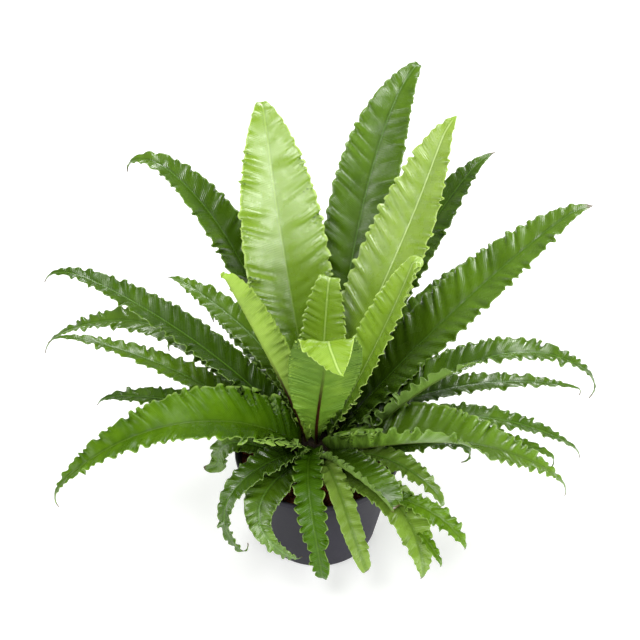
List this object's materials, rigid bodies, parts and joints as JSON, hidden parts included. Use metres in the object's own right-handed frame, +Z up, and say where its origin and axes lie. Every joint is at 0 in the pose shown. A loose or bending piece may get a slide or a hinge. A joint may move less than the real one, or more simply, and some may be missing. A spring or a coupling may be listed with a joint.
{
  "type": "potted fern",
  "caption": "Bird's-nest fern with wavy-edged strap fronds round a short stock, in soil in a plain tapered pot.",
  "frame": {"origin": "centre of the pot's flat base, on the pot's axis", "axes": "+Z up along the pot's axis, -Y towards the viewer of the picture, +X to its right"},
  "size_m": [0.6401, 0.4978, 0.5121],
  "materials": {
    "pot": "matte",
    "soil": "matte",
    "rhizome": "matte",
    "frond_young": "satin",
    "frond_middle": "satin",
    "frond_mature": "satin"
  },
  "bodies": {
    "root": {"pot": "pot", "soil": "soil", "rhizome": "rhizome", "frond_01": "frond_young", "frond_02": "frond_young", "frond_03": "frond_young", "frond_04": "frond_young", "frond_05": "frond_young", "frond_06": "frond_young", "frond_07": "frond_mature", "frond_08": "frond_mature", "frond_09": "frond_mature", "frond_10": "frond_mature", "frond_11": "frond_mature", "frond_12": "frond_middle", "frond_13": "frond_mature", "frond_14": "frond_middle", "frond_15": "frond_mature", "frond_16": "frond_mature", "frond_17": "frond_mature", "frond_18": "frond_mature", "frond_19": "frond_mature", "frond_20": "frond_mature", "frond_21": "frond_middle", "frond_22": "frond_middle", "frond_23": "frond_mature", "frond_24": "frond_mature", "frond_25": "frond_middle", "frond_26": "frond_mature", "frond_27": "frond_mature", "frond_28": "frond_mature", "frond_29": "frond_mature", "frond_30": "frond_mature", "frond_31": "frond_mature", "frond_32": "frond_mature", "frond_33": "frond_mature", "frond_34": "frond_mature", "frond_35": "frond_mature", "frond_36": "frond_mature", "frond_37": "frond_mature", "frond_38": "frond_mature"}
  },
  "joints": []
}
